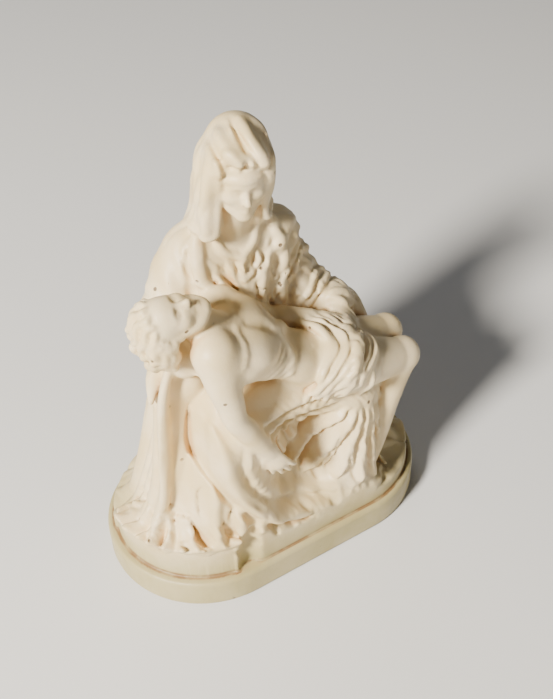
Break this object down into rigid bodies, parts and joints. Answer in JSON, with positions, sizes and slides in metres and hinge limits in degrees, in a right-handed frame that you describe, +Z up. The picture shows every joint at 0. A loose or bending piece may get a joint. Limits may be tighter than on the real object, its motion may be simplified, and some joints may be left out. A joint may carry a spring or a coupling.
{
  "type": "pieta statuette",
  "caption": "Cast figurine of a seated, veiled mother with her grown son lying across her lap, on a low round-ended plinth.",
  "frame": {"origin": "middle of the plinth's underside", "axes": "+Z up, the figures face -Y, +X along the plinth towards the son's knees"},
  "size_m": [0.106, 0.0622, 0.1375],
  "materials": {
    "cast_resin": "warm ivory cast resin, satin, a little dirt and amber tint in the hollows"
  },
  "bodies": {
    "root": {"statuette": "cast_resin"}
  },
  "joints": []
}
